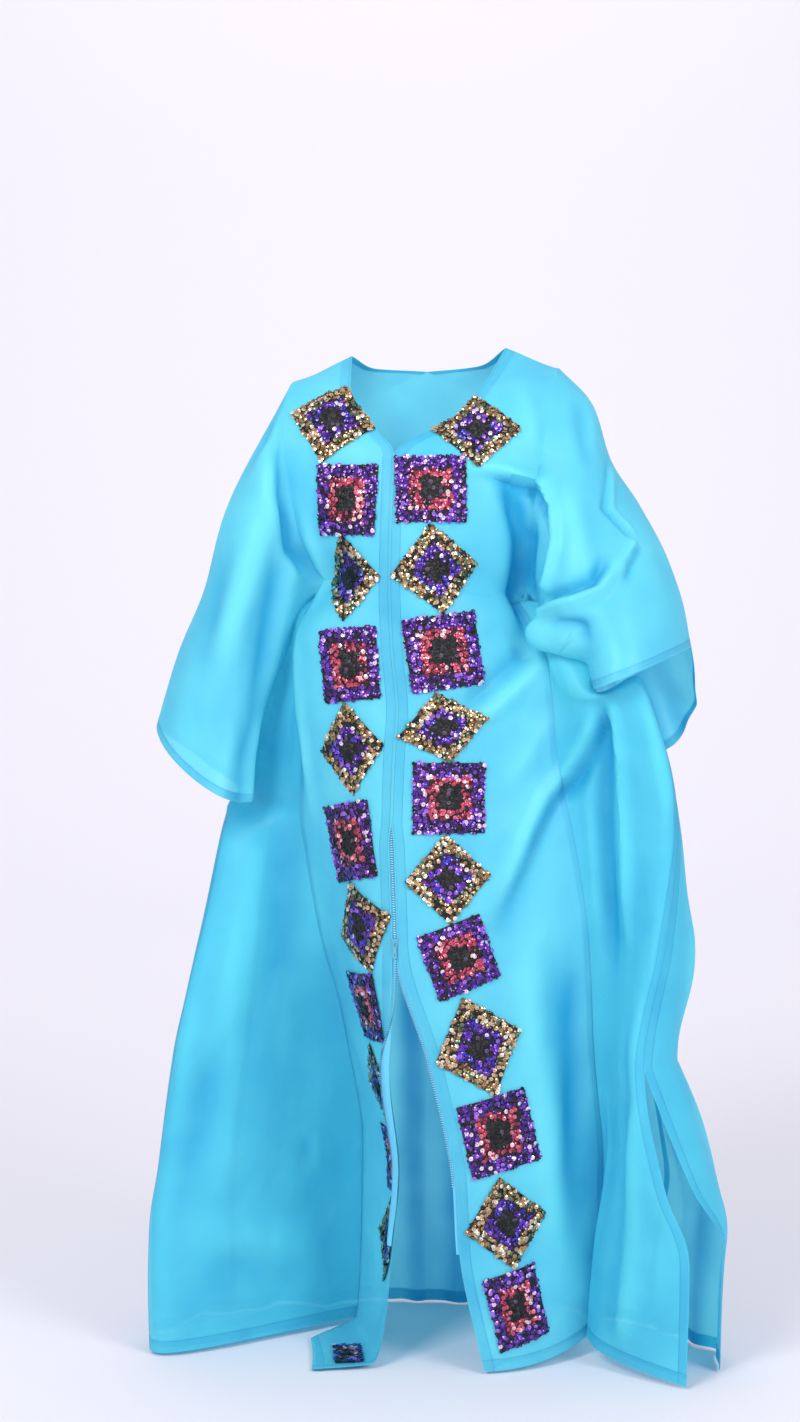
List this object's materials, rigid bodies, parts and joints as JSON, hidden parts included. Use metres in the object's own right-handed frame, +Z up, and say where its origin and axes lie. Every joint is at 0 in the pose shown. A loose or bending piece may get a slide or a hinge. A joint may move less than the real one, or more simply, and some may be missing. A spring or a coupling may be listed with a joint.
{
  "type": "grand boubou robe",
  "caption": "Floor-length grand boubou of sheer organza with wide open sleeves, side gores and slits, a front zip and two columns of square sequin patches",
  "frame": {"origin": "between the two neck points, where the robe hangs from the wearer's neck and shoulders", "axes": "+Z up, the front faces -Y, the wearer's left is +X"},
  "size_m": [0.8502, 0.4821, 1.4904],
  "materials": {
    "organza": "crisp sheer turquoise organza with a soft sheen",
    "gore_organza": "crisp sheer turquoise organza with a soft sheen",
    "gold_sequins": "gold and violet sequins on black mesh",
    "purple_sequins": "purple and raspberry sequins on black mesh",
    "zip_tape": "pale blue woven tape with plastic coil teeth",
    "zip_metal": "light blue painted zinc"
  },
  "bodies": {
    "robe": {"back": "organza", "front_right": "organza", "front_left": "organza", "gore_right_front": "gore_organza", "gore_right_back": "gore_organza", "gore_left_front": "gore_organza", "gore_left_back": "gore_organza", "sleeve_right": "organza", "sleeve_left": "organza", "zip_tape_right": "zip_tape", "zip_tape_left": "zip_tape", "zip_slider": "zip_metal", "patch_right_01": "gold_sequins", "patch_right_02": "purple_sequins", "patch_right_03": "gold_sequins", "patch_right_04": "purple_sequins", "patch_right_05": "gold_sequins", "patch_right_06": "purple_sequins", "patch_right_07": "gold_sequins", "patch_right_08": "purple_sequins", "patch_right_09": "gold_sequins", "patch_right_10": "purple_sequins", "patch_right_11": "gold_sequins", "patch_right_12": "purple_sequins", "patch_left_01": "gold_sequins", "patch_left_02": "purple_sequins", "patch_left_03": "gold_sequins", "patch_left_04": "purple_sequins", "patch_left_05": "gold_sequins", "patch_left_06": "purple_sequins", "patch_left_07": "gold_sequins", "patch_left_08": "purple_sequins", "patch_left_09": "gold_sequins", "patch_left_10": "purple_sequins", "patch_left_11": "gold_sequins", "patch_left_12": "purple_sequins"},
    "pull_tab": {"zip_pull_tab": "zip_metal"}
  },
  "joints": [
    {"name": "pull_tab_hinge", "type": "hinge", "parent": "robe", "child": "pull_tab", "pos_m": [-0.04321, -0.18609, -0.8536], "axis": [-1, 0, 0], "range_deg": [0, 170]}
  ]
}
